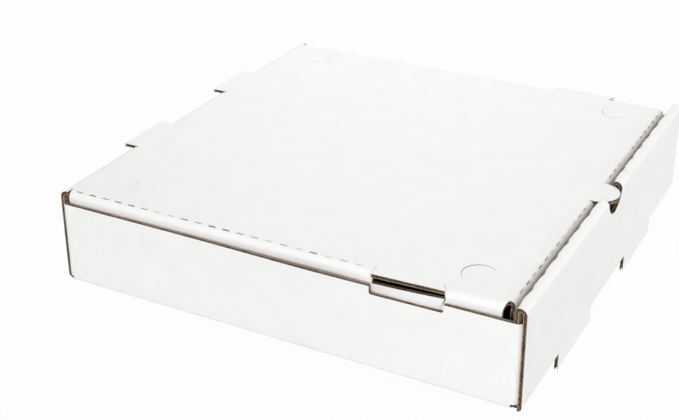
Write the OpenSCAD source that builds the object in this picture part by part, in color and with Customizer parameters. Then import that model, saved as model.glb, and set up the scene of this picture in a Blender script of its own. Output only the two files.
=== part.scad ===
// Folded pizza box, cut and creased from one sheet of corrugated board.
// The front wall faces -Y, the lid hinges along the back wall, and the
// origin is the middle of the underside of the bottom panel.

/* [Box] */
// Outside width, from the left side to the right side
box_w = 254; // [220:1:420]
// Outside depth, from the front wall to the back wall
box_d = 254; // [220:1:420]
// Height of the closed lid's top above the underside of the bottom
lid_top = 50.8; // [48:0.1:80]

/* [Board] */
// Thickness of the corrugated board
board_t = 1.8; // [1.4:0.1:2.4]
// Inside radius of the tray's folds
fold_r = 0.4; // [0.3:0.1:0.8]
// Inside radius of the lid's folds, which spring back a little
lid_fold_r = 2.2; // [0.4:0.1:2.4]
// Air between layers of board that lie together
nest_gap = 0.15; // [0.1:0.05:0.4]
// Gap left by the cutting rule round each tab
cut_gap = 0.3; // [0.2:0.05:0.5]

/* [Front wall] */
// How far the rolled front edge stands above the lid's top
front_rise = 2.2; // [0:0.1:4]
// Smallest gap between the lid's nose and the sides of the thumb notch
nose_gap = 0.3; // [0.2:0.05:1]

/* [Feet] */
// Distance from the middle of the front wall to the near end of each foot
foot_in = 28.4; // [20:0.1:40]
// Length of each foot along the front wall
foot_l = 49; // [20:0.5:60]
// How far each foot reaches below the bottom panel
foot_drop = 7.3; // [3:0.1:12]
// How much shorter a locking tab is than its slot, at each end
lock_inset = 3; // [1:0.5:8]

/* [Side walls] */
// How far the raw top edge of a side wall lies below the lid's top
side_drop = 6.1; // [4:0.1:10]
// Length of the corner tabs that turn in behind the front and back walls
corner_tab_l = 38; // [15:1:60]
// Depth of the notch under each side tab
side_notch_d = 4.2; // [2:0.1:8]
// Radius in the lower corners of that notch
side_notch_r = 1.2; // [0.5:0.1:1.8]

/* [Lid] */
// Gap between the side wall and the lid flap at its fold
side_gap = 1.6; // [0.6:0.1:4]
// Gap between the rolled front wall and the lid's front flap at its fold
front_gap = 2.4; // [1.5:0.1:6]
// Depth of the lid's side flaps below their fold
side_flap_d = 36; // [20:1:38]
// Depth of the lid's front flap below its fold
front_flap_d = 38; // [20:1:39]
// Angle by which the side flaps lean inward
side_lean = 16; // [2:1:20]
// Angle by which the front flap leans inward
front_lean = 9; // [4:1:15]
// Angle by which each end of a flap is cut back
end_angle = 18; // [14:1:30]
// Length of each flap end that stays square beside the fold
end_square = 3; // [1:0.1:4]
// Clearance between the flap ends at the front corners of the lid
corner_gap = 1; // [1:0.1:4]
// Length of the full-width strip of lid beside the back fold
back_strip = 0.8; // [0.5:0.1:8]
// Gap between the lid's back fold and the top of the back wall
hinge_gap = 0.3; // [0.2:0.05:0.6]

/* [Lid tabs] */
// Length of each side tab along the lid's edge
side_tab_l = 36; // [15:0.5:60]
// How far a side tab reaches past the side wall
side_tab_out = 2.9; // [1:0.1:8]
// Distance from the front wall to the middle of the side tabs
side_tab_y = 57.2; // [45:0.1:100]
// Distance from the middle of the back to the near end of each hinge tab
hinge_tab_in = 27.5; // [15:0.1:40]
// Length of each hinge tab along the back fold
hinge_tab_l = 34.6; // [15:0.1:42]
// How far a hinge tab reaches past the back wall
hinge_tab_out = 5.5; // [2:0.1:8]
// Radius of the rounded nose at the front of the lid
nose_r = 11; // [8:0.1:14]
// How far the nose reaches past the front wall
nose_out = 1.7; // [0:0.1:3]

/* [Vents] */
// Radius of the half-moon slits near the lid's corners
vent_r = 8.2; // [5:0.1:12]
// Width of those slits
vent_w = 0.3; // [0.2:0.1:1]
// Arc that each slit runs round
vent_arc = 230; // [160:5:270]
// Distance from the side of the box to the middle of a slit
vent_side = 22.8; // [18:0.1:45]
// Distance from the front wall to the middle of a front slit
vent_front = 31.4; // [24:0.1:45]
// Distance from the back wall to the middle of a back slit
vent_back = 24; // [20:0.1:45]

/* [Perforated creases] */
// Distance from one cut to the next
perf_pitch = 8; // [6:0.1:12]
// Length of each cut
perf_l = 4; // [2:0.1:5]
// Width of each cut
perf_w = 0.3; // [0.2:0.1:0.8]
// Angle round the lid's folds at which the cuts lie
perf_a = 28; // [15:1:60]
// Angle round the inner fold of the rolled edge at which its cuts lie
roll_perf_a = 45; // [15:1:60]
// Distance from the back wall to the first cut of a side crease
perf_back = 10.5; // [8:0.1:20]
// Distance from the middle of the front to the first cut on each side
perf_front = 21.1; // [18:0.1:30]

/* [Hidden] */
$fn = 48;
eps = 1;
// Flat facets round a fold that isn't square
fold_facets = 12;

half_w = box_w / 2;
half_d = box_d / 2;
fold_o = fold_r + board_t;
lid_fold_o = lid_fold_r + board_t;
// Length of board that a fold takes, measured along its middle line
function fold_take(turn, r) = turn * PI / 180 * (r + board_t / 2);

front_h = lid_top + front_rise;
side_h = lid_top - side_drop;
roll_t = 3 * board_t + 2 * nest_gap;
inner_foot = board_t + nest_gap;
side_run = box_d - 2 * (board_t + nest_gap + fold_o);
bottom_w = box_w - 2 * fold_o;

// The lid turns about the outer face of the back wall
hinge_z = lid_top - lid_fold_o;
back_h = hinge_z - hinge_gap;
axis_z = hinge_z - hinge_gap / 2;

lid_side = half_w - board_t - side_gap;
lid_front = half_d - roll_t - front_gap;
lid_panel_w = 2 * (lid_side - lid_fold_o);
lid_run = half_d + lid_front - 2 * lid_fold_o;
front_flap_w = lid_panel_w - 2 * corner_gap;
side_flap_front = -(lid_front - lid_fold_o) + corner_gap;
side_flap_back = half_d - lid_fold_o - back_strip - cut_gap;

foot_reach = fold_o + foot_drop;
slot_d = fold_o + foot_reach - fold_take(90, fold_r) + cut_gap;
side_tab_mid = -half_d + side_tab_y;
side_tab_reach = half_w + side_tab_out - lid_side + lid_fold_o;
side_hole_run = side_tab_reach - fold_take(90 + side_lean, lid_fold_r) + cut_gap;

nose_mid = -(half_d + nose_out - nose_r);
nose_half_in = sqrt(pow(nose_r, 2) - pow(half_d - roll_t + nose_mid, 2));
thumb_r = norm([nose_half_in + nose_gap, front_rise + board_t]);

hinge_hole_d = norm([hinge_tab_out, lid_top - axis_z]) + cut_gap;

perf_side_n = floor((box_d - perf_back - side_tab_y - side_tab_l / 2 - perf_pitch / 2)
    / perf_pitch) + 1;
perf_front_n = floor((front_flap_w / 2 - perf_l - perf_front) / perf_pitch) + 1;

// Places its children on the left and on the right
module both_sides() {
    children();
    mirror([1, 0, 0]) children();
}

// A quarter or other part of a turn of board, round the Z axis
module bend(turn, width, r) {
    rotate(-90)
        translate([0, 0, -width / 2])
            rotate_extrude(angle = turn)
                translate([r, 0])
                    square([board_t, width]);
}

// A flat panel along +X, outer face on y = 0, from width w_0 to width w_1
module panel(run, w_0, w_1) {
    translate([0, board_t, 0])
        rotate([90, 0, 0])
            linear_extrude(board_t)
                polygon([[0, -w_0 / 2], [run, -w_1 / 2], [run, w_1 / 2], [0, w_0 / 2]]);
}

// Point at radius r round a fold of the lid that has turned by this angle
function fold_point(r, turn) = [r * sin(turn), lid_fold_o - r * cos(turn)];

// Flap of the lid with its fold, in the frame of a folded step. Its root
// reaches into the panel, and both of its ends are cut back from a short way
// below the fold.
module flap(turn, width, depth) {
    along = depth * [cos(turn), sin(turn)];
    difference() {
        linear_extrude(width, center = true)
            polygon(concat(
                [[-board_t, board_t], [-board_t, 0]],
                [for (i = [0 : fold_facets]) fold_point(lid_fold_o, turn * i / fold_facets)],
                [fold_point(lid_fold_o, turn) + along, fold_point(lid_fold_r, turn) + along],
                [for (i = [fold_facets : -1 : 0]) fold_point(lid_fold_r, turn * i / fold_facets)]
            ));
        for (end = [0, 1])
            mirror([0, 0, end])
                translate([0, lid_fold_o, 0])
                    rotate(turn)
                        translate([end_square, -lid_fold_o - eps, width / 2])
                            rotate([0, end_angle, 0])
                                translate([-eps, 0, 0])
                                    cube([2 * depth, board_t + 2 * eps, depth]);
    }
}

// Board that is folded again and again towards its inner face. Each step is
// [turn, width of the fold, run after it, width at its start, width at its end],
// and r is the inside radius of the folds.
module folded(steps, r, i = 0) {
    turn = steps[i][0];
    translate([0, r + board_t, 0]) {
        if (turn > 0) bend(turn, steps[i][1], r);
        rotate(turn) translate([0, -r - board_t, 0]) {
            panel(steps[i][2], steps[i][3], steps[i][4]);
            if (i + 1 < len(steps))
                translate([steps[i][2], 0, 0])
                    folded(steps, r, i + 1);
        }
    }
}

// Inner layer, rolled edge, front wall, bottom and back wall
module tray_spine() {
    translate([0, -half_d + roll_t, inner_foot])
        rotate([0, -90, 180])
            folded([
                [0, 0, front_h - fold_o - inner_foot, box_w, box_w],
                [90, box_w, roll_t - 2 * fold_o, box_w, box_w],
                [90, box_w, front_h - 2 * fold_o, box_w, box_w],
                [90, box_w, box_d - 2 * fold_o, bottom_w, bottom_w],
                [90, box_w, back_h - fold_o, box_w, box_w]
            ], fold_r);
}

// The left side wall with the corner tabs at both of its ends
module side_wall() {
    wall_h = side_h - fold_o;
    tab_run = corner_tab_l - fold_o;
    translate([-half_w + corner_tab_l, half_d - board_t - nest_gap, fold_o + wall_h / 2])
        rotate(180)
            folded([
                [0, 0, tab_run, wall_h, wall_h],
                [90, wall_h, side_run, wall_h, wall_h],
                [90, wall_h, tab_run, wall_h, wall_h]
            ], fold_r);
    translate([-half_w + fold_o, 0, 0])
        rotate([90, 0, 180])
            translate([0, fold_o, 0])
                bend(90, side_run, fold_r);
}

// Room for the side walls beside the inner layer of the front wall
module inner_layer_recess() {
    translate([half_w - board_t - nest_gap, -half_d + roll_t - board_t - nest_gap / 2, -eps])
        cube([board_t + nest_gap + eps, board_t + nest_gap / 2 + eps, side_h + nest_gap + eps]);
}

// Round notch for a thumb, through both layers of the front wall
module thumb_notch() {
    translate([0, -half_d - eps, front_h])
        rotate([-90, 0, 0])
            cylinder(h = roll_t + 2 * eps, r = thumb_r);
}

// Notch in the top edge of a side wall, under the lid's side tab
module side_notch() {
    l = side_tab_l + 2 * cut_gap;
    d = side_notch_d;
    r = side_notch_r;
    translate([-half_w - eps, side_tab_mid, side_h])
        rotate([90, 0, 90])
            linear_extrude(board_t + 2 * eps) {
                translate([-l / 2, -d + r]) square([l, d - r + eps]);
                translate([-l / 2 + r, -d]) square([l - 2 * r, r + eps]);
                for (x = [-l / 2 + r, l / 2 - r])
                    translate([x, -d + r]) circle(r);
            }
}

// Hole in the back wall that a hinge tab came out of and swings through
module hinge_tab_hole() {
    translate([hinge_tab_in - cut_gap, half_d - fold_o - eps, axis_z - hinge_hole_d])
        cube([hinge_tab_l + 2 * cut_gap, fold_o + 2 * eps, hinge_hole_d + eps]);
}

// Slot in the bottom panel that a foot came out of
module foot_slot() {
    translate([foot_in - cut_gap, -half_d - eps, -eps])
        cube([foot_l + 2 * cut_gap, slot_d + eps, fold_o + eps]);
}

// Tab of the front wall that stays upright below the bottom fold
module foot() {
    translate([foot_in, -half_d, -foot_drop])
        cube([foot_l, board_t, foot_reach + board_t]);
}

// Tab of the inner layer that locks into the slot behind a foot
module lock_tab() {
    translate([foot_in + lock_inset, -half_d + roll_t - board_t, 0])
        cube([foot_l - 2 * lock_inset, board_t, fold_o + board_t]);
}

// One cut of a perforated crease with inside radius r, centred on the fold's
// axis and pointing to +Z
module perf_cut(r) {
    translate([-perf_l / 2, -perf_w / 2, r / 2])
        cube([perf_l, perf_w, board_t + r]);
}

// Cuts along the inner crease of the rolled front edge
module roll_perforation() {
    translate([0, -half_d + roll_t - fold_o, front_h - fold_o])
        rotate([-roll_perf_a, 0, 0])
            for (i = [0 : perf_front_n - 1])
                translate([perf_front + i * perf_pitch, 0, 0])
                    perf_cut(fold_r);
}

module tray() {
    color("white") {
        difference() {
            tray_spine();
            thumb_notch();
            both_sides() {
                inner_layer_recess();
                foot_slot();
                hinge_tab_hole();
                roll_perforation();
            }
        }
        both_sides() {
            foot();
            lock_tab();
            difference() {
                side_wall();
                side_notch();
            }
        }
    }
}

// Back fold, top panel and front flap of the lid
module lid_spine() {
    translate([0, half_d, hinge_z])
        rotate([0, -90, 180])
            folded([
                [90, box_w, back_strip, box_w, box_w],
                [0, 0, lid_run - back_strip, lid_panel_w, lid_panel_w]
            ], lid_fold_r);
    translate([0, -lid_front + lid_fold_o, lid_top])
        rotate([-90, 0, -90])
            flap(90 + front_lean, front_flap_w, front_flap_d);
}

// The left side flap of the lid
module side_flap() {
    flap_l = side_flap_back - side_flap_front;
    translate([-lid_side + lid_fold_o, (side_flap_back + side_flap_front) / 2, lid_top])
        rotate([-90, 0, 180])
            flap(90 + side_lean, flap_l, side_flap_d);
}

// Hole in a side flap that its tab came out of, as long as the tab itself
module side_tab_hole() {
    hole_h = lid_fold_o * (1 + sin(side_lean)) + side_hole_run * cos(side_lean);
    translate([-half_w, side_tab_mid - side_tab_l / 2 - cut_gap, lid_top - hole_h])
        cube([side_tab_reach + lid_fold_o, side_tab_l + 2 * cut_gap, hole_h + eps]);
}

// Tab that stays flat with the lid when the side flap is folded down
module side_tab() {
    translate([-half_w - side_tab_out, side_tab_mid - side_tab_l / 2, lid_top - board_t])
        cube([side_tab_reach + lid_fold_o, side_tab_l, board_t]);
}

// Place of a hinge tab, cleared of the back fold
module hinge_tab_space() {
    translate([hinge_tab_in - cut_gap, half_d - lid_fold_o, hinge_z - eps])
        cube([hinge_tab_l + 2 * cut_gap, lid_fold_o + eps, lid_fold_o + 2 * eps]);
}

// Tab that stays flat with the lid over the back wall
module hinge_tab() {
    root = 2 * lid_fold_o;
    translate([hinge_tab_in, half_d - root, lid_top - board_t])
        cube([hinge_tab_l, root + hinge_tab_out, board_t]);
}

// Hole in the fold and the front flap that the nose came out of. Below the
// panel it is round and goes through the leaning flap.
module nose_hole() {
    r = nose_r + cut_gap;
    through = lid_fold_o + r * sin(front_lean) + eps;
    translate([0, -lid_front - eps, lid_top - fold_o]) {
        rotate([-90, 0, 0])
            cylinder(h = through, r = r);
        translate([-r, 0, 0])
            cube([2 * r, lid_fold_o + eps, fold_o + eps]);
    }
}

// Rounded nose that stays flat with the lid, over the thumb notch
module nose() {
    translate([0, nose_mid, lid_top - board_t])
        cylinder(h = board_t, r = nose_r);
    translate([-nose_r, nose_mid, lid_top - board_t])
        cube([2 * nose_r, -nose_mid - lid_front + 2 * lid_fold_o, board_t]);
}

// Half-moon slit whose open side faces the lid's corner
module vent_slit(toward) {
    rotate(toward - vent_arc / 2)
        translate([0, 0, lid_top - board_t - eps])
            rotate_extrude(angle = vent_arc)
                translate([vent_r - vent_w / 2, 0])
                    square([vent_w, board_t + 2 * eps]);
}

module vent_slits() {
    translate([-half_w + vent_side, -half_d + vent_front, 0])
        vent_slit(45);
    translate([-half_w + vent_side, half_d - vent_back, 0])
        vent_slit(-45);
}

// Cuts along the side crease, from the back fold to the side tab
module side_perforation() {
    translate([-lid_side + lid_fold_o, 0, lid_top - lid_fold_o])
        rotate([0, -perf_a, 0])
            for (i = [0 : perf_side_n - 1])
                translate([0, half_d - perf_back - i * perf_pitch, 0])
                    rotate(90)
                        perf_cut(lid_fold_r);
}

// Cuts along the lid's front crease, on one side of the nose
module front_perforation() {
    translate([0, -lid_front + lid_fold_o, lid_top - lid_fold_o])
        rotate([perf_a, 0, 0])
            for (i = [0 : perf_front_n - 1])
                translate([perf_front + i * perf_pitch, 0, 0])
                    perf_cut(lid_fold_r);
}

module lid() {
    color("whitesmoke") {
        difference() {
            lid_spine();
            nose_hole();
            both_sides() {
                hinge_tab_space();
                front_perforation();
                vent_slits();
            }
        }
        nose();
        both_sides() {
            hinge_tab();
            side_tab();
            difference() {
                side_flap();
                side_tab_hole();
                side_perforation();
            }
        }
    }
}

tray();
lid();
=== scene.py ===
# %% [markdown]
# # A pizza box of corrugated board
# The box is cut from one flat sheet, creased and folded by hand. The CAD part holds its sizes, its
# hinge and its collision. This script dresses that part: it draws the flat sheet again, gives it
# its two paper liners and the wavy layer between them, and folds it up. Where real board bends or
# springs in another way than the plain solids do, the text before the cell says so.

# %% The frame
import math

import bpy
import numpy as np
from mathutils import Matrix, Vector
from mathutils.geometry import delaunay_2d_cdt


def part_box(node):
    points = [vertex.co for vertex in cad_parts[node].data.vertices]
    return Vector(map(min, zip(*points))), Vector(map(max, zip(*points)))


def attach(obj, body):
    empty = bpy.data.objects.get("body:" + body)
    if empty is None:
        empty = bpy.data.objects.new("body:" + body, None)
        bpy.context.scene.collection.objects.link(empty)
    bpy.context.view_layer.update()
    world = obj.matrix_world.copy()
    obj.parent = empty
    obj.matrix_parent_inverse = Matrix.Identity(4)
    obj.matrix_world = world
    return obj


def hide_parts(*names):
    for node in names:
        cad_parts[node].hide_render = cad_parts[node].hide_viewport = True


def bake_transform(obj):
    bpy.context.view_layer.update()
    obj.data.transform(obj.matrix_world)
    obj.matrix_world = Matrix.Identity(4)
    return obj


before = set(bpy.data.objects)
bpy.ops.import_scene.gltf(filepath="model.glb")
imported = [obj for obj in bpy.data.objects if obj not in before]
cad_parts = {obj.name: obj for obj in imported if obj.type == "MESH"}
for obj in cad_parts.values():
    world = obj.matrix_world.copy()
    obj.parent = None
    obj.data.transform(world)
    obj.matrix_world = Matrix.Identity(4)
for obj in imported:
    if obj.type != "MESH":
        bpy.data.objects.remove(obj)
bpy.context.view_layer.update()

# %% [markdown]
# The sheet is easiest to think of in millimetres, as a box maker's drawing is. What the CAD solids
# can tell is read from them. The other sizes repeat the ones in the part's source, by the same
# names, because a fold or a slit inside a solid can't be read from its outer box.

# %% Sizes of the box
MM = 0.001
tray_low, tray_high = (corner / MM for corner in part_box("tray"))
lid_low, lid_high = (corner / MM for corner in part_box("lid"))

half_w, half_d, front_h = (round(size, 2) for size in tray_high)
lid_top, foot_drop = round(lid_high.z, 2), round(-tray_low.z, 2)
side_tab_tip, hinge_tab_tip = round(lid_high.x, 2), round(lid_high.y, 2)
nose_tip = round(-lid_low.y, 2)

board_t, fold_r, lid_fold_r, nest_gap, cut_gap = 1.8, 0.4, 2.2, 0.15, 0.3
fold_o, lid_fold_o = fold_r + board_t, lid_fold_r + board_t
roll_t = 3 * board_t + 2 * nest_gap
inner_foot = board_t + nest_gap


def fold_take(degrees, inner=fold_r):
    """Length of board that a fold takes, along its middle line."""
    return math.radians(degrees) * (inner + board_t / 2)


print("box", 2 * half_w, "x", 2 * half_d, "x", lid_top, "mm, feet reach", foot_drop, "mm down")

# %% [markdown]
# A blank is drawn as closed loops on a flat plane: one outline, and a loop for each hole or slit.
# Both blanks of this box are the same on the left and on the right, so each outline is listed for
# its right half only, from the front to the back, and mirrored. Round stretches are arcs.

# %% Drawing a blank
def mirrored(right_half):
    """A closed loop from its right half."""
    return right_half + [(-x, y) for x, y in reversed(right_half)]


def arc(x, y, radius, start, end, pieces=24):
    """Points on an arc round (x, y), with its angles in degrees."""
    angles = np.radians(np.linspace(start, end, pieces + 1))
    return [(x + radius * math.cos(a), y + radius * math.sin(a)) for a in angles]


def slit(x, y, length, width, along_y=False):
    """A narrow cut centred on (x, y)."""
    a, b = (width / 2, length / 2) if along_y else (length / 2, width / 2)
    return [(x - a, y - b), (x + a, y - b), (x + a, y + b), (x - a, y + b)]


def both_sides(loops):
    """Loops of the right half, and the same on the left."""
    return loops + [[(-x, y) for x, y in loop] for loop in loops]


# %% [markdown]
# The tray's blank runs from the front to the back: the inner layer of the front wall, the rolled
# edge, the outer front wall, the bottom and the back wall. The side walls lie left and right of
# the bottom, each with two corner tabs. Distances are measured from the middle of the bottom.
#
# Thick board doesn't fold as sharply as the solids do. On the real box the top of the roll and the
# corners are rounder, so their folds have a larger radius here. The ends of the back wall stop
# short, so that they stay hidden behind the corners.

# %% Fold lines of the tray, from the front to the back
roll_r = 1.6
roll_o = roll_r + board_t
front_fold = half_d - fold_o
front_wall = front_fold + fold_take(90)
top_fold = front_wall + front_h - fold_o - roll_o
ledge = top_fold + fold_take(90, roll_r)
roll_fold = ledge + roll_t - roll_o - fold_o
inner_top = roll_fold + fold_take(90)
inner_end = inner_top + front_h - fold_o - inner_foot
lock_end = inner_end + inner_foot

hinge_z = lid_top - lid_fold_o
hinge_gap = 0.3
axis_z = hinge_z - hinge_gap / 2
back_fold = half_d - fold_o
back_wall = back_fold + fold_take(90)
back_end = back_wall + hinge_z - hinge_gap - fold_o

# %% Fold lines of the tray, from the middle to the sides
side_drop, corner_tab_l, corner_r, back_inset = 6.1, 38, 1.6, 2.5
back_w = half_w - back_inset
side_h = lid_top - side_drop
side_fold = half_w - fold_o
side_wall = side_fold + fold_take(90)
side_end = side_wall + side_h - fold_o
corner_o = corner_r + board_t
corner_fold = half_d - board_t - nest_gap - corner_o
corner_end = corner_fold + fold_take(90, corner_r) + corner_tab_l - corner_o
print("tray blank", round(2 * side_end), "x", round(lock_end + back_end), "mm")

# %% [markdown]
# Everything that is cut into a sheet has its place here: the notch in each side wall, the tabs and
# the feet that a slit leaves standing, the nose with the thumb notch under it, and the rows of
# short cuts that let a crease turn.

# %% Sizes of the cuts
side_tab_l, side_tab_y, side_notch_d, side_notch_r = 36, 57.2, 4.2, 1.2
side_tab_mid = -half_d + side_tab_y
hinge_tab_in, hinge_tab_l = 27.5, 34.6
hinge_tab_far = hinge_tab_in + hinge_tab_l
foot_in, foot_l, lock_inset = 28.4, 49, 3
foot_far = foot_in + foot_l
foot_end = front_wall - fold_o - foot_drop
nose_r, nose_gap = 11, 0.3
nose_mid = nose_r - nose_tip
nose_half_in = math.sqrt(nose_r**2 - (half_d - roll_t + nose_mid) ** 2)
thumb_r = math.hypot(nose_half_in + nose_gap, front_h - lid_top + board_t)
perf_pitch, perf_l, perf_w, perf_a, roll_perf_a = 8, 4, 0.3, 28, 45
perf_front, perf_back = 21.1, 10.5
perf_front_n, perf_side_n = 12, 21

# %% The tray's outline
tab_slot = 0.4
inner_w = half_w - board_t - nest_gap
shoulder = inner_top + front_h - fold_o - side_h - nest_gap
hinge_tab_swing = math.hypot(hinge_tab_tip - half_d, lid_top - axis_z)
hole_end = back_wall + axis_z - hinge_tab_swing - cut_gap - fold_o
notch_y = [side_tab_mid - side_tab_l / 2 - cut_gap, side_tab_mid + side_tab_l / 2 + cut_gap]
notch_x = side_end - side_notch_d + side_notch_r

tray_outline = mirrored(
    [
        (foot_in + lock_inset, -inner_end), (foot_in + lock_inset, -lock_end),
        (foot_far - lock_inset, -lock_end), (foot_far - lock_inset, -inner_end),
        (inner_w, -inner_end), (inner_w, -shoulder), (half_w, -shoulder), (half_w, -front_fold),
        (side_fold, -front_fold), (side_fold, -corner_fold),
        (half_w + tab_slot, -corner_fold), (half_w + tab_slot, -corner_end),
        (side_end, -corner_end), (side_end, notch_y[0]),
        *arc(notch_x, notch_y[0] + side_notch_r, side_notch_r, 270, 180, 6),
        *arc(notch_x, notch_y[1] - side_notch_r, side_notch_r, 180, 90, 6),
        (side_end, notch_y[1]), (side_end, corner_end), (half_w + tab_slot, corner_end),
        (half_w + tab_slot, corner_fold), (side_fold, corner_fold), (side_fold, back_fold),
        (back_w, back_fold), (back_w, back_end),
        (hinge_tab_far + cut_gap, back_end), (hinge_tab_far + cut_gap, hole_end),
        (hinge_tab_in - cut_gap, hole_end), (hinge_tab_in - cut_gap, back_end),
    ]
)

# %% [markdown]
# The thumb notch goes through both layers of the front wall, so on the flat sheet it is one long
# hole over the rolled edge. Each foot is a tab: a slit runs round three of its sides, and when the
# wall folds up, the foot stays in line with the wall. Short cuts weaken the inner crease of the
# roll, so that the thick board folds back sharply there.

# %% The tray's holes and slits
outer_centre, inner_centre = front_wall + front_h - fold_o, inner_top - (front_h - lid_top)
thumb_hole = arc(0, -outer_centre, thumb_r, 0, 180) + arc(0, -inner_centre, thumb_r, 180, 360)
foot_slit = [
    (foot_in - cut_gap, -front_wall), (foot_in - cut_gap, -foot_end + cut_gap),
    (foot_far + cut_gap, -foot_end + cut_gap), (foot_far + cut_gap, -front_wall),
    (foot_far, -front_wall), (foot_far, -foot_end), (foot_in, -foot_end), (foot_in, -front_wall),
]
roll_cut_y = roll_fold + fold_take(roll_perf_a)
roll_cuts = [
    slit(perf_front + i * perf_pitch, -roll_cut_y, perf_l, perf_w) for i in range(perf_front_n)
]
tray_loops = [tray_outline, thumb_hole] + both_sides([foot_slit] + roll_cuts)
print("tray", len(tray_loops) - 1, "holes and slits")

# %% [markdown]
# The lid's blank is the top panel with a flap on three sides. The nose, the side tabs and the
# hinge tabs are cut out of the flaps and the back wall, and stay flat with the panel.
#
# Folded board wants to spring open. The side flaps press outward against the walls, so they lean
# less and stand further out than in the solids, and their front ends are cut on a slant. The front
# crease is sharper, because its perforation weakens it.

# %% Fold lines of the lid
side_gap, front_gap, corner_gap, back_strip = 1.2, 2.4, 0.4, 0.8
side_flap_d, front_flap_d, side_lean, front_lean = 36, 38, 3, 9
end_angle, end_square, corner_cut, lid_front_r = 18, 3, 1.5, 0.8
lid_front_o = lid_front_r + board_t
lid_side_fold = half_w - board_t - side_gap - lid_fold_o
lid_side_flap = lid_side_fold + fold_take(90 + side_lean, lid_fold_r)
lid_side_end = lid_side_flap + side_flap_d
lid_front_fold = half_d - roll_t - front_gap - lid_front_o
lid_front_flap = lid_front_fold + fold_take(90 + front_lean, lid_front_r)
lid_front_end = lid_front_flap + front_flap_d
lid_back_fold = half_d - lid_fold_o
lid_back_end = lid_back_fold + fold_take(90, lid_fold_r)

# %% The lid's outline
front_half = lid_side_fold - corner_gap
front_cut = (front_flap_d - end_square) * math.tan(math.radians(end_angle))
side_cut = (side_flap_d - end_square) * math.tan(math.radians(end_angle))
side_front, side_back = -lid_front_fold + corner_gap, lid_back_fold - back_strip - cut_gap
flap_front = side_front + corner_cut

lid_outline = mirrored(
    [
        (front_half - front_cut, -lid_front_end), (front_half, -lid_front_flap - end_square),
        (front_half, -lid_front_fold), (lid_side_fold, -lid_front_fold),
        (lid_side_fold, side_front), (lid_side_flap, flap_front),
        (lid_side_flap + end_square, flap_front), (lid_side_end, flap_front + side_cut),
        (lid_side_end, side_back - side_cut), (lid_side_flap + end_square, side_back),
        (lid_side_fold, side_back), (lid_side_fold, lid_back_fold - back_strip),
        (back_w, lid_back_fold - back_strip), (back_w, lid_back_end),
        (hinge_tab_far + cut_gap, lid_back_end), (hinge_tab_far + cut_gap, lid_back_fold),
        (hinge_tab_far, lid_back_fold), (hinge_tab_far, hinge_tab_tip),
        (hinge_tab_in, hinge_tab_tip), (hinge_tab_in, lid_back_fold),
        (hinge_tab_in - cut_gap, lid_back_fold), (hinge_tab_in - cut_gap, lid_back_end),
    ]
)

# %% [markdown]
# A tab that stays flat with the panel is drawn as a slit round three of its sides. The side tabs of
# the real box end on a slant, a little short of where the solids' tabs end, and a small tear runs
# on from the front end of each slit.

# %% The slits round the lid's tabs
nose_slit = (
    arc(0, nose_mid, nose_r + cut_gap, 180, 360)
    + [(nose_r + cut_gap, -lid_front_fold), (nose_r, -lid_front_fold)]
    + arc(0, nose_mid, nose_r, 360, 180)
    + [(-nose_r, -lid_front_fold), (-nose_r - cut_gap, -lid_front_fold)]
)
tab_low, tab_high, tab_slant = side_tab_mid - side_tab_l / 2, side_tab_mid + side_tab_l / 2, 2.5
tab_root = tab_low + tab_slant
low_short, high_short, tear_x, tear_y = 4.7, 3.1, 5.6, 2.4
low_tip, high_tip = side_tab_tip - low_short, side_tab_tip - high_short
side_tab_slit = [
    (lid_side_fold, tab_root - cut_gap), (low_tip + cut_gap, tab_low - cut_gap),
    (low_tip + tear_x, tab_low + tear_y), (low_tip + cut_gap, tab_low + cut_gap),
    (high_tip + cut_gap, tab_high + cut_gap), (lid_side_fold, tab_high + cut_gap),
    (lid_side_fold, tab_high), (high_tip, tab_high), (low_tip, tab_low), (lid_side_fold, tab_root),
]

# %% [markdown]
# The vents are half-moon slits. The moon hardly lifts, so a vent shows only as a hairline that is
# widest in the middle of its arc, and the one nearest to the eye has opened most.

# %% The vents
vent_r, vent_w, vent_arc, vent_steps, vent_end_w = 8.2, 0.3, 230, 40, 0.03
vent_side, vent_front, vent_back = 22.8, 31.4, 24
back_vent_w, left_vent_w, right_vent_w = 0.1, 0.52, 0.18
vent_x, vent_front_y, vent_back_y = half_w - vent_side, -half_d + vent_front, half_d - vent_back


def vent(x, y, towards, width):
    """A half-moon slit round (x, y), widest in its middle and almost closed at its ends."""
    radius = vent_r + vent_w / 2
    outer = arc(x, y, radius, towards - vent_arc / 2, towards + vent_arc / 2, vent_steps)
    gaps = [
        vent_end_w + width * math.sin(math.pi * i / vent_steps) ** 2 for i in range(vent_steps + 1)
    ]
    shares = [(radius - gap) / radius for gap in gaps]
    inner = [(x + (px - x) * share, y + (py - y) * share) for (px, py), share in zip(outer, shares)]
    return outer + inner[::-1]


back_vents = both_sides([vent(vent_x, vent_back_y, 225, back_vent_w)])
front_vents = [
    vent(-vent_x, vent_front_y, 45, left_vent_w), vent(vent_x, vent_front_y, 135, right_vent_w)
]

# %% [markdown]
# Where a crease has been turned, the short cuts of its perforation gape, some more than others. A
# wave of the cut's number makes them uneven without any chance in it, and along the front crease
# the cuts next to the corner gape most.

# %% The lid's perforations
side_perf_a, gape_mean, gape_swing, gape_wave = 22, 1.1, 0.6, 2.4
front_gape, corner_gape, corner_cuts = 0.55, 1.1, 2
side_cut_x = lid_side_fold + fold_take(side_perf_a, lid_fold_r)
front_cut_y = lid_front_fold + fold_take(perf_a, lid_front_r)


def opened(i):
    """Width of one cut of a perforation, which opens more or less as the crease turns."""
    return perf_w * (gape_mean + gape_swing * math.sin(gape_wave * i * i))


def front_opened(i):
    """Width of one cut of the front crease, counted from the nose to the corner."""
    return opened(i + 3) * (corner_gape if i + corner_cuts >= perf_front_n else front_gape)


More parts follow.
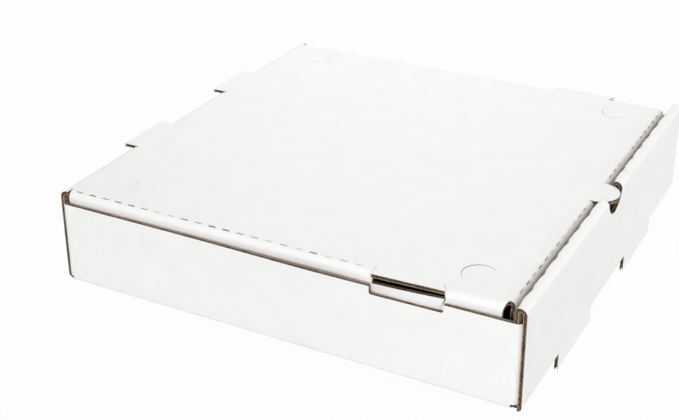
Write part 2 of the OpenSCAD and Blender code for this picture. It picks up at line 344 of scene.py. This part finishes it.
side_cuts = [
    slit(side_cut_x, half_d - perf_back - i * perf_pitch, perf_l, opened(i), along_y=True)
    for i in range(perf_side_n)
]
front_cuts = [
    slit(perf_front + i * perf_pitch, -front_cut_y, perf_l, front_opened(i))
    for i in range(perf_front_n)
]
lid_loops = [lid_outline, nose_slit] + both_sides([side_tab_slit] + side_cuts + front_cuts)
lid_loops += back_vents + front_vents
print("lid", len(lid_loops) - 1, "slits, blank", round(2 * lid_side_end), "mm wide")

# %% [markdown]
# A fold moves every point that lies beyond its line: board within the bend goes round an arc, and
# board past it turns as one stiff piece. Tabs are the exceptions, and each fold knows its own.
# A wall that has already been folded further out is simply carried along, so the outermost fold
# comes first in each list.

# %% Folds
fold_margin = 0.7


class Fold:
    """A crease of a blank. out points away from the middle, and start is how far out it lies."""

    def __init__(self, out, start, degrees, carries, follows=None, stays=None, inner=fold_r):
        self.out, self.start, self.turn = np.array(out, float), start, math.radians(degrees)
        self.carries, self.follows, self.stays = carries, follows, stays
        self.middle, self.outer = inner + board_t / 2, inner + board_t

    def lines(self, low, high, pieces=10):
        """Lines along the bend, on which the sheet can turn, between two places across it."""
        take = self.turn * self.middle
        places = [self.start + take * i / pieces for i in range(pieces + 1)]
        places += [self.start - fold_margin, self.start + take + fold_margin]
        across = abs(self.out[0]) > 0.5
        sign = self.out[0] if across else self.out[1]
        ends = [[(sign * p, low), (sign * p, high)] for p in places]
        return ends if across else [[(b, a) for a, b in line] for line in ends]

    def bend(self, flat, place):
        """Moves the places of the blank's points through this fold."""
        x, y = flat.T
        along, here = flat @ self.out - self.start, place[:, :2] @ self.out - self.start
        angle = np.clip(along / self.middle, 0, self.turn)
        moves = (along > 0) & self.carries(x, y)
        if self.stays:
            moves &= ~self.stays(x, y)
        if self.follows:
            moves |= self.follows(x, y)
            angle = np.where(self.follows(x, y), self.turn, angle)
        past = np.where(angle >= self.turn - 1e-9, here - self.turn * self.middle, 0)
        arm = self.outer - place[:, 2]
        out = arm * np.sin(angle) + past * np.cos(angle)
        up = self.outer - arm * np.cos(angle) + past * np.sin(angle)
        moved = place.copy()
        moved[:, :2] += np.outer(out - here, self.out)
        moved[:, 2] = up
        return np.where(moves[:, None], moved, place)


# %% [markdown]
# These short functions say which board belongs to which piece of the flat sheet.

# %% Pieces of the blanks
hair = 0.01


def front_and_back(x, y):
    return np.abs(x) < half_w + tab_slot / 2


def sides(x, y):
    return (np.abs(y) < corner_fold + hair) | (np.abs(x) > half_w + tab_slot / 2)


def corner_tabs(x, y):
    return np.abs(x) > half_w + tab_slot / 2


def feet(x, y):
    near_foot = (np.abs(x) > foot_in - cut_gap / 2) & (np.abs(x) < foot_far + cut_gap / 2)
    return near_foot & (y < -foot_end + cut_gap / 2) & (y > -front_wall - hair)


def front_flap(x, y):
    return np.abs(x) < front_half + hair


def side_flaps(x, y):
    return (y > side_front - hair) & (y < side_back + hair)


def whole(x, y):
    return np.full(len(x), True)


def nose(x, y):
    r = nose_r + cut_gap / 2
    return (np.abs(x) < r) & ((y > nose_mid) | (np.hypot(x, y - nose_mid) < r))


def side_tabs(x, y):
    low_end = tab_root - tab_slant * (np.abs(x) - lid_side_fold) / (low_tip - lid_side_fold)
    tip = low_tip + (high_tip - low_tip) * (y - tab_low) / side_tab_l
    between = (y > low_end - cut_gap / 2) & (y < tab_high + cut_gap / 2)
    return between & (np.abs(x) < tip + cut_gap / 2)


def hinge_tabs(x, y):
    return (np.abs(x) > hinge_tab_in - cut_gap / 2) & (np.abs(x) < hinge_tab_far + cut_gap / 2)


# %% The folds of both blanks
RIGHT, LEFT, BACK, FRONT = (1, 0), (-1, 0), (0, 1), (0, -1)
corner_folds = [Fold(end, corner_fold, 90, corner_tabs, inner=corner_r) for end in (FRONT, BACK)]
front_folds = [
    Fold(FRONT, roll_fold, 90, front_and_back),
    Fold(FRONT, top_fold, 90, front_and_back, inner=roll_r),
    Fold(FRONT, front_fold, 90, front_and_back, follows=feet),
]
tray_back_fold = Fold(BACK, back_fold, 90, front_and_back)
side_folds = [Fold(side, side_fold, 90, sides) for side in (RIGHT, LEFT)]
tray_folds = corner_folds + front_folds + [tray_back_fold] + side_folds

lid_front = Fold(FRONT, lid_front_fold, 90 + front_lean, front_flap, stays=nose, inner=lid_front_r)
lid_back = Fold(BACK, lid_back_fold, 90, whole, stays=hinge_tabs, inner=lid_fold_r)
lid_sides = [
    Fold(side, lid_side_fold, 90 + side_lean, side_flaps, stays=side_tabs, inner=lid_fold_r)
    for side in (RIGHT, LEFT)
]
lid_folds = [lid_front, lid_back] + lid_sides
print(len(tray_folds), "folds in the tray,", len(lid_folds), "in the lid")

# %% [markdown]
# A flat sheet with many holes is awkward to mesh by hand. A constrained triangulation does it: it
# is given the loops and some straight lines, and returns triangles whose edges follow all of them.
# Those whose middle lies outside the sheet, by counting crossings, are left out.

# %% Cutting a blank into triangles
REACH = 260


def inside(points, loops):
    """Which points lie on the sheet, and in none of its holes."""
    x, y = points.T
    crossings = np.zeros(len(points), int)
    for loop in loops:
        for (x0, y0), (x1, y1) in zip(loop, loop[1:] + loop[:1]):
            if y0 != y1:
                level = (y >= min(y0, y1)) & (y < max(y0, y1))
                crossings += level & (x < x0 + (y - y0) * (x1 - x0) / (y1 - y0))
    return crossings % 2 == 1


def flat_mesh(loops, lines):
    """Points and triangles of the sheet, cut along its loops and along the lines."""
    points, edges = [], []
    for path in loops + lines:
        first, count = len(points), len(path)
        points += [Vector(point) for point in path]
        edges += [(first + i, first + (i + 1) % count) for i in range(count if count > 2 else 1)]
    found = delaunay_2d_cdt(points, edges, [], 0, 1e-4)
    flat, faces = np.array([tuple(p) for p in found[0]]), np.array([tuple(f) for f in found[2]])
    faces = faces[inside(flat[faces].mean(axis=1), loops)]
    kept, renumbered = np.unique(faces, return_inverse=True)
    return flat[kept], renumbered.reshape(faces.shape)


# %% [markdown]
# Corrugated board has three plies: a liner outside, a liner inside, and a wavy sheet glued
# between them, whose flutes run along the box's width here. Each ply is built as a real solid of
# its own, from two copies of the flat mesh at two depths and a rim round every edge and hole. So a
# raw edge shows the true flutes, and a slit shows all three plies.

# %% Parts of a ply
def folded_up(flat, depth, folds, to_row):
    """Where the points of the flat mesh go, at one depth of the board or at one for each point."""
    place = np.column_stack([flat, np.broadcast_to(depth, len(flat))])
    for fold in folds:
        place = fold.bend(flat, place)
    return to_row(place, flat)


def open_edges(faces):
    """Edges that only one triangle of the flat mesh has."""
    used = dict.fromkeys(edge for a, b, c in faces for edge in ((a, b), (b, c), (c, a)))
    return [(a, b) for a, b in used if (b, a) not in used]


def lay_out(mesh, flat):
    """Tells the mesh where each of its corners lies on the flat sheet, in metres."""
    corners = np.empty(len(mesh.loops), np.int32)
    mesh.loops.foreach_get("vertex_index", corners)
    sheet = np.vstack([flat, flat]) * MM
    layer = mesh.uv_layers.new(name="sheet")
    layer.data.foreach_set("uv", sheet[corners].astype(np.float32).ravel())


def add_piece(name, mesh):
    piece = bpy.data.objects.new(name, mesh)
    bpy.context.scene.collection.objects.link(piece)
    return piece


# %% [markdown]
# The flat mesh is used twice, for the outer and the inner side of the ply. Every open edge of it
# gets a rim. Edges sharper than the bends of the paper stay crisp, and the bends look round.

# %% Making one ply
crisp_angle = 35


def make_ply(name, body, flat, faces, depths, folds, to_row, finishes):
    """A ply between two depths, folded up. finishes are those of its outer side and of the rest."""
    outer, inner = (folded_up(flat, depth, folds, to_row) for depth in depths)
    faces, count = faces.tolist(), len(flat)
    rims = [(b, a, a + count, b + count) for a, b in open_edges(faces)]
    outer_faces = [(c, b, a) for a, b, c in faces]
    inner_faces = [(a + count, b + count, c + count) for a, b, c in faces]
    places = np.vstack([outer, inner]) * MM
    mesh = bpy.data.meshes.new(name)
    mesh.from_pydata(places.tolist(), [], outer_faces + inner_faces + rims)
    for finish in finishes:
        mesh.materials.append(finish)
    finish_of_face = [0] * len(faces) + [1] * (len(faces) + len(rims))
    mesh.polygons.foreach_set("material_index", finish_of_face)
    mesh.polygons.foreach_set("use_smooth", [True] * len(finish_of_face))
    lay_out(mesh, flat)
    if to_row is lid_to_row:
        mesh.flip_normals()
    mesh.set_sharp_from_angle(angle=math.radians(crisp_angle))
    mesh.update()
    piece = add_piece(name, mesh)
    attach(piece, body)
    print(name, 2 * count, "points", 2 * (len(faces) + len(rims)), "triangles")
    return piece


# %% [markdown]
# The tray is folded straight up from the bottom panel, so its folded places already are the
# part's. Its side walls bow out a little along their free top edges, because only their ends are
# held, and the weakened crease of the roll bulges between its cuts.

# %% Placing the folded tray
side_bow, bow_y, bow_reach, bow_power = 1.2, -30, 55, 1.6
scallop, scallop_reach = 0.3, 1.4


def hump(place, middle, reach):
    """1 at the middle, and less and less away from it."""
    return np.exp(-(((place - middle) / reach) ** 2))


def tray_to_row(place, flat):
    """The tray as folded, with the free edges of its side walls bowed out."""
    x, y = np.abs(flat[:, 0]), flat[:, 1]
    height = np.clip((x - side_wall) / (side_end - side_wall), 0, 1)
    free = np.clip(1 - (y / corner_fold) ** 2, 0, 1) * hump(y, bow_y, bow_reach)
    on_crease = hump(-y, roll_cut_y, scallop_reach) * (x < inner_w)
    moved = place.copy()
    moved[:, 0] += np.sign(flat[:, 0]) * side_bow * height**bow_power * free
    moved[:, 1] += scallop * on_crease * np.cos(math.pi * (x - perf_front) / perf_pitch)
    return moved


# %% [markdown]
# The lid is drawn with its outer face down and then turned over. Beside the side tabs, where a
# notch leaves the wall low, its side flaps spring out furthest.

# %% Placing the folded lid
flap_bulge, bulge_reach, bulge_in, bulge_out = 1.4, 26, 3, 8
bulge_start, bulge_end = lid_side_fold + bulge_in, lid_side_fold + bulge_out


def lid_to_row(place, flat):
    """The lid turned over, so that its panel is on top, with its side flaps sprung out."""
    x, y = flat.T
    depth = np.clip((np.abs(x) - bulge_start) / (bulge_end - bulge_start), 0, 1)
    near = hump(y, side_tab_mid, bulge_reach) * ~side_tabs(x, y)
    out = place[:, 0] + np.sign(x) * flap_bulge * depth * near
    return np.column_stack([out, place[:, 1], lid_top - place[:, 2]])


# %% [markdown]
# Shader values read best as sums, so a small class wraps a node's socket and adds a Math node for
# each operator. Any other node comes from one method of the tree that it belongs to, which is a
# material's or the world's.

# %% Writing shaders as expressions
class Value:
    """A socket that can be added, multiplied and so on."""

    def __init__(self, nodes, socket):
        self.nodes, self.socket = nodes, socket

    def maths(self, operation, first, second=0.0):
        return self.nodes.node("ShaderNodeMath", {"operation": operation}, {0: first, 1: second})

    def __add__(self, other):
        return self.maths("ADD", self, other)

    def __sub__(self, other):
        return self.maths("SUBTRACT", self, other)

    def __rsub__(self, other):
        return self.maths("SUBTRACT", other, self)

    def __mul__(self, other):
        return self.maths("MULTIPLY", self, other)

    def __truediv__(self, other):
        return self.maths("DIVIDE", self, other)

    def __rtruediv__(self, other):
        return self.maths("DIVIDE", other, self)

    def sine(self):
        return self.maths("SINE", self)

    def size(self):
        return self.maths("ABSOLUTE", self)

    def fit(self, low, high):
        """0 where this is at low, 1 where it is at high, smooth between them."""
        ends = {"Value": self, "From Min": low, "From Max": high}
        return self.nodes.node("ShaderNodeMapRange", {"interpolation_type": "SMOOTHSTEP"}, ends)

    __radd__, __rmul__ = __add__, __mul__


# %% The one way to make a node
class Nodes:
    """The node tree of a material or of the world."""

    def __init__(self, tree):
        self.tree = tree

    def node(self, kind, settings=None, inputs=None, output=0):
        """A node with its settings made first and its sockets filled next, as a Value."""
        made = self.tree.nodes.new(kind)
        for key, value in (settings or {}).items():
            setattr(made, key, value)
        for key, value in (inputs or {}).items():
            self.put(made.inputs[key], value)
        return Value(self, made.outputs[output])

    def put(self, socket, value):
        """Fills a socket with a number, a colour or another socket."""
        if isinstance(value, Value):
            self.tree.links.new(value.socket, socket)
        else:
            socket.default_value = value

    def mix(self, share, first, second):
        """A colour between two others. The colours of a Mix node are its sockets 6, 7 and 2."""
        return self.node("ShaderNodeMix", {"data_type": "RGBA"}, {0: share, 6: first, 7: second}, 2)


# %% [markdown]
# Paper gets its grain before it is folded. So every pattern is laid out on the flat sheet, whose
# places each mesh carries with it, and runs on round the folds as it does on real board.

# %% A finish for paper
class Finish(Nodes):
    """A material with one Principled shader, whose patterns lie on the flat sheet."""

    def __init__(self, name):
        self.material = bpy.data.materials.new(name)
        self.material.use_nodes = True
        super().__init__(self.material.node_tree)
        self.shader = self.tree.nodes["Principled BSDF"]

    def sheet(self):
        """Where on the flat sheet a point lies, in metres."""
        return self.node("ShaderNodeUVMap", {"uv_map": "sheet"})

    def along(self, axis):
        """How far along X or Y of the flat sheet a point lies, in millimetres."""
        return self.node("ShaderNodeSeparateXYZ", None, {0: self.sheet()}, axis) / MM

    def noise(self, scale, detail=3.0, roughness=0.5, stretch=(1, 1, 1)):
        """Noise on the flat sheet. scale is in patches per metre."""
        place = {0: self.sheet(), 1: stretch}
        place = self.node("ShaderNodeVectorMath", {"operation": "MULTIPLY"}, place)
        sockets = {"Vector": place, "Scale": scale, "Detail": detail, "Roughness": roughness}
        return self.node("ShaderNodeTexNoise", {"noise_dimensions": "3D"}, sockets)

    def bumps(self, height, strength, distance):
        """The shader's normal over bumps of this height. distance is in millimetres."""
        sockets = {"Strength": strength, "Distance": distance * MM, "Height": height}
        return self.node("ShaderNodeBump", None, sockets)

    def set(self, **sockets):
        """Fills the shader's own sockets, named with _ for a space."""
        for name, value in sockets.items():
            self.put(self.shader.inputs[name.replace("_", " ")], value)
        return self


def colour(red, green, blue):
    """A colour that is given as it looks on a screen, from 0 to 255."""
    def linear(v):
        v /= 255
        return v / 12.92 if v <= 0.04045 else ((v + 0.055) / 1.055) ** 2.4
    return (linear(red), linear(green), linear(blue), 1)


# %% [markdown]
# The outside is white lined board: a pale clay coating on paper, matt, with a faint cloud of
# fibres, and with the flutes just showing through as a washboard. It is nearly one colour, so the
# detail is small: a slight change of tone, and bumps far smaller than the board. Past the lid's
# front fold, on both sides of the nose, a beige band is painted shade: it stands for the shade that
# the tray's rolled front edge casts on the lid's front flap in the gap behind it.

# %% White liner
flute_pitch = 3.2
# Where the painted shade past the lid's front fold begins, is full, fades and ends, in mm.
shade_from, shade_full, shade_fades, shade_ends = 0.6, 1.6, 5.5, 9


def white_liner(name, fold_shade=0.0):
    """The white liner of one sheet. The second argument says how strong the painted shade past the
    lid's front fold is.
    """
    paper = Finish(name)
    cloud = paper.noise(60, 4, 0.6).fit(0.3, 0.7)
    fibre = paper.noise(900, 4, 0.6, (0.35, 1, 1))
    flutes = (paper.along("Y") * (2 * math.pi / flute_pitch)).sine()
    tone = cloud * 0.6 + fibre * 0.4
    height = flutes * 0.25 + fibre * 0.35 + cloud * 0.2
    coat = paper.mix(tone, colour(242, 241.5, 240.5), colour(246, 246, 245.5))
    # Painted shade: a beige band past the lid's front fold, beside the nose, for the shade of the
    # tray's roll.
    if fold_shade:
        past_fold = -lid_front_fold - paper.along("Y")
        beside_nose = paper.along("X").size().fit(nose_r, nose_r + 2)
        painted_shade = past_fold.fit(shade_from, shade_full) * (1 - past_fold.fit(shade_fades, shade_ends))
        painted_shade = painted_shade * beside_nose * fold_shade
        coat = paper.mix(painted_shade, coat, colour(226, 218, 209))
    return paper.set(
        Base_Color=coat,
        Roughness=fibre * 0.12 + 0.52,
        Normal=paper.bumps(height, 0.25, 0.12),
    ).material


# %% [markdown]
# The inside liner and the wavy ply are plain brown kraft paper. Its long fibres run along the
# sheet, and dark specks lie between them. A cut edge is a little darker than the face, because the
# fibres stand on end there.

# %% Kraft papers
def kraft_paper(name, pale, dark, speck_share):
    paper = Finish(name)
    fibre = paper.noise(700, 5, 0.65, (0.3, 1.4, 1))
    cloud = paper.noise(90, 3, 0.5).fit(0.3, 0.7)
    speck = paper.noise(1500, 2, 0.5).fit(0.66, 0.74)
    tone = (fibre * 0.7 + cloud * 0.3).fit(0.3, 0.7)
    height = fibre * 0.7 + cloud * 0.3
    base = paper.mix(tone, dark, pale)
    return paper.set(
        Base_Color=paper.mix(speck * speck_share, base, colour(92, 66, 45)),
        Roughness=fibre * 0.15 + 0.72,
        Normal=paper.bumps(height, 0.4, 0.15),
    ).material


# The lid's liner carries the painted shade past its front fold.
white, lid_white = white_liner("tray_white_liner"), white_liner("lid_white_liner", fold_shade=0.9)
kraft = kraft_paper("kraft_liner", colour(190, 162, 132), colour(168, 140, 110), 0.35)
raw = kraft_paper("raw_kraft_edge", colour(164, 143, 126), colour(116, 96, 80), 0.5)
print("finishes", [finish.name for finish in (white, lid_white, kraft, raw)])

# %% [markdown]
# Now the plies. A triangle is flat, so the sheet has to be cut wherever it bends. The liners are
# cut only there, and the wavy ply needs eight cuts to each flute over the whole sheet.

# %% Where the sheets bend
overrun = 1


def steps(low, high, step):
    """Numbers from low to high, about a step apart."""
    return np.linspace(low, high, int(round((high - low) / step)) + 1)


def tray_lines():
    lines = []
    for fold in front_folds + [tray_back_fold]:
        lines += fold.lines(-half_w - overrun, half_w + overrun)
    for sign in (1, -1):
        for fold in corner_folds:
            lines += fold.lines(sign * (half_w + tab_slot / 2), sign * (side_end + overrun))
    for fold in side_folds:
        lines += fold.lines(-corner_end - overrun, corner_end + overrun)
    return lines


def lid_lines():
    lines = []
    for fold in (lid_front, lid_back):
        lines += fold.lines(-half_w - overrun, half_w + overrun)
    for fold in lid_sides:
        lines += fold.lines(side_front - overrun, side_back + overrun)
    return lines


# %% Where the sheets bow and bulge
crease_step, bow_step, bow_rise, bow_far, bulge_step, bulge_far = 2, 8, 7, 120, 3, 60


def wall_lines():
    """Lines on which the side walls can bow and the roll's crease can bulge."""
    places = steps(-half_w, half_w, crease_step)
    lines = [[(x, -ledge), (x, -inner_top - 2 * overrun)] for x in places]
    rows = steps(-bow_far, bow_far, bow_step)
    columns = steps(side_wall + bow_rise, side_end - overrun, bow_rise)
    for sign in (1, -1):
        lines += [[(sign * side_wall, y), (sign * (side_end + overrun), y)] for y in rows]
        lines += [[(sign * x, -corner_fold), (sign * x, corner_fold)] for x in columns]
    return lines


def flap_lines():
    """Lines on which the lid's side flaps can spring out."""
    lines, rows = [], steps(side_front, side_tab_mid + bulge_far, bulge_step)
    for sign in (1, -1):
        lines += [[(sign * x, side_front), (sign * x, side_back)] for x in (bulge_start, bulge_end)]
        lines += [[(sign * bulge_start, y), (sign * lid_side_end, y)] for y in rows]
    return lines


# %% [markdown]
# The wavy ply's waves just reach the two liners, where the glue lines would be.

# %% The plies of both sheets
liner_t, medium_t, cuts_per_flute = 0.25, 0.2, 8
wave = (board_t / 2 - liner_t) - medium_t / 2


def make_board(node, finish, loops, lines, folds, to_row):
    """The three plies of one sheet, which together stand for a CAD node."""
    outer_name, outer_depths = node + "_outer_liner", (0, liner_t)
    inner_name, inner_depths = node + "_inner_liner", (board_t - liner_t, board_t)
    flat, faces = flat_mesh(loops, lines)
    outer = make_ply(outer_name, node, flat, faces, outer_depths, folds, to_row, (finish, raw))
    make_ply(inner_name, node, flat, faces, inner_depths, folds, to_row, (raw, kraft))
    far = max(abs(y) for x, y in loops[0]) + overrun
    flutes = [[(-REACH, y), (REACH, y)] for y in steps(-far, far, flute_pitch / cuts_per_flute)]
    upright = [(start, end) for start, end in lines if start[0] == end[0]]
    flat, faces = flat_mesh(loops, flutes + upright)
    middle = board_t / 2 + wave * np.sin(2 * math.pi * flat[:, 1] / flute_pitch)
    depths = (middle - medium_t / 2, middle + medium_t / 2)
    make_ply(node + "_flutes", node, flat, faces, depths, folds, to_row, (raw, raw))
    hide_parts(node)


make_board("tray", white, tray_loops, tray_lines() + wall_lines(), tray_folds, tray_to_row)
make_board("lid", lid_white, lid_loops, lid_lines() + flap_lines(), lid_folds, lid_to_row)

# %% [markdown]
# At the hinge the real sheet goes on without a break. The CAD solids need a hair of air there, so a
# short strip of the outer liner bridges it. It is built up in rows of four points, at the left and
# the right end and on the liner's outer and inner side, and left out where the hinge tabs were cut
# free.

# %% The hinge crease
crease_rows = 4


def make_hinge_crease():
    stretches = [
        (-back_w, -hinge_tab_far - cut_gap), (cut_gap - hinge_tab_in, hinge_tab_in - cut_gap),
        (hinge_tab_far + cut_gap, back_w),
    ]
    low, high = hinge_z - hinge_gap, hinge_z
    points, faces = [], []
    for left, right in stretches:
        for i, z in enumerate(np.linspace(low, high, crease_rows)):
            points += [(x, y, z) for x in (left, right) for y in (half_d, half_d - liner_t)]
            if i:
                a = len(points) - 8
                faces += [(a, a + 2, a + 6, a + 4), (a + 1, a + 5, a + 7, a + 3)]
                faces += [(a, a + 4, a + 5, a + 1), (a + 2, a + 3, a + 7, a + 6)]
    mesh = bpy.data.meshes.new("hinge_crease")
    mesh.from_pydata([[c * MM for c in p] for p in points], [], faces)
    mesh.uv_layers.new(name="sheet")
    mesh.materials.append(white)
    crease = add_piece("hinge_crease", mesh)
    low * MM
    high * MM
    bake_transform(crease)
    print("hinge crease", len(faces), "faces")


make_hinge_crease()

# %% [markdown]
# The background of the photograph is white, but white light from all around would wash out the
# box. So what a ray sees decides: the camera's own rays, and those that come by way of something
# shiny or clear, see a white backdrop, and all others a darker one that lights the box less.

# %% Rays that see the backdrop
def backdrop_rays(nodes):
    """1 for a ray that sees the backdrop, and 0 for one that is lit by it."""
    rays = ("Is Camera Ray", "Is Glossy Ray", "Is Transmission Ray")
    camera, glossy, transmission = (nodes.node("ShaderNodeLightPath", output=ray) for ray in rays)
    return camera + glossy + transmission


# %% [markdown]
# The floor is a plain pale sheet. The box stands on its two feet and its back bottom edge, so the
# floor is tipped by under two degrees to touch all three. For the camera it glows almost white,
# and a share of its own shading stays, so that it keeps the box's shadow.

# %% Floor
floor_size, floor_gap, glow_share = 8, 0.0001, 0.97


def make_floor():
    foot_y, edge_y = -half_d + board_t, back_fold
    slope = math.atan2(foot_drop, edge_y - foot_y)
    bpy.ops.mesh.primitive_plane_add(size=floor_size)
    floor = bpy.context.object
    floor.name = "floor"
    floor.rotation_euler = (slope, 0, 0)
    floor.location = (0, foot_y * MM, -foot_drop * MM - floor_gap)
    paint = Finish("pale_floor")
    paint.set(Base_Color=colour(205, 205, 205), Roughness=0.9, Specular_IOR_Level=0.0)
    shaded = Value(paint, paint.shader.outputs["BSDF"])
    glow = paint.node("ShaderNodeEmission")
    share = backdrop_rays(paint) * glow_share
    both = paint.node("ShaderNodeMixShader", None, {0: share, 1: shaded, 2: glow})
    paint.put(paint.tree.nodes["Material Output"].inputs["Surface"], both)
    floor.data.materials.append(paint.material)
    print("floor tipped by", round(math.degrees(slope), 2), "degrees")


make_floor()

# %% [markdown]
# The photograph was taken in a white studio and is almost without shadows. The top of the box and
# its long side are equally bright and the front is a little darker, which no lamp overhead could
# do. So one soft lamp hangs over the box, and three stand round it: to the left, to the front and
# far behind to the right. The first two are low, so that they also shine into the gaps and under
# the tab, and all are far enough away to light a wall evenly. A weak white world fills the rest.

# %% World
world_light = 0.25


def make_world():
    world = bpy.data.worlds.new("studio")
    bpy.context.scene.world = world
    world.use_nodes = True
    sky = Nodes(world.node_tree)
    light = sky.node("ShaderNodeBackground", None, {"Color": (1, 1, 1, 1), "Strength": world_light})
    backdrop = sky.node("ShaderNodeBackground", None, {"Color": (1, 1, 1, 1), "Strength": 1})
    both = sky.node("ShaderNodeMixShader", None, {0: backdrop_rays(sky), 1: light, 2: backdrop})
    sky.put(sky.tree.nodes["World Output"].inputs["Surface"], both)


make_world()


# %% Lamps
def outward(azimuth, elevation):
    """The way from the box to a place round it. Azimuth 0 is in front of it and 90 to its right."""
    a, e = math.radians(azimuth), math.radians(elevation)
    return Vector((math.sin(a) * math.cos(e), -math.cos(a) * math.cos(e), math.sin(e)))


def make_lamp(name, azimuth, elevation, distance, size, power):
    """A square soft lamp that looks at the box, with its distance and size in metres."""
    light = bpy.data.lights.new(name, "AREA")
    light.size, light.energy = size, power
    lamp = bpy.data.objects.new(name, light)
    bpy.context.scene.collection.objects.link(lamp)
    out = outward(azimuth, elevation)
    lamp.location = out * distance
    lamp.rotation_euler = out.to_track_quat("Z", "Y").to_euler()


make_lamp("top_softbox", azimuth=-60, elevation=76, distance=2.2, size=1.6, power=19)
make_lamp("left_softbox", azimuth=-74, elevation=8, distance=2.4, size=1.3, power=40.5)
make_lamp("front_softbox", azimuth=20, elevation=8, distance=2.4, size=1.3, power=26)
make_lamp("far_softbox", azimuth=115, elevation=25, distance=2.4, size=1.3, power=20)

# %% [markdown]
# The photograph was taken from the box's left front corner, about 25 degrees above it. Where the
# camera is, how it is turned and how long its lens is come from the box's own corners and edges in
# the picture. The picture's upright lines were straightened, which a small shift of the lens
# follows in part.

# %% Camera
def make_camera():
    azimuth, elevation, roll = -61.9, 25.2, math.radians(-0.3)
    target, aside, above, distance = Vector((0, 0, 0.025)), 0.0277, -0.0165, 0.7134
    focal_px, frame_px, sensor_mm, shift_px = 1284, 679, 36, 50
    back = outward(azimuth, elevation)
    level = Vector((0, 0, 1)).cross(back).normalized()
    steep = back.cross(level)
    right = level * math.cos(roll) + steep * math.sin(roll)
    up = steep * math.cos(roll) - level * math.sin(roll)
    place = target - right * aside - up * above + back * distance
    lens = bpy.data.cameras.new("camera")
    lens.sensor_width, lens.lens = sensor_mm, focal_px / frame_px * sensor_mm
    lens.shift_y = -shift_px / frame_px
    lens.clip_start, lens.clip_end = 0.01, 20
    camera = bpy.data.objects.new("camera", lens)
    bpy.context.scene.collection.objects.link(camera)
    turn = Matrix((right, up, back)).transposed().to_4x4()
    camera.matrix_world = Matrix.Translation(place) @ turn
    bpy.context.scene.camera = camera
    print("camera at", [round(c, 3) for c in place], "lens", round(lens.lens, 1), "mm")


make_camera()
bpy.context.scene.view_settings.view_transform = "Standard"

# %% Updating the scene
bpy.context.view_layer.update()
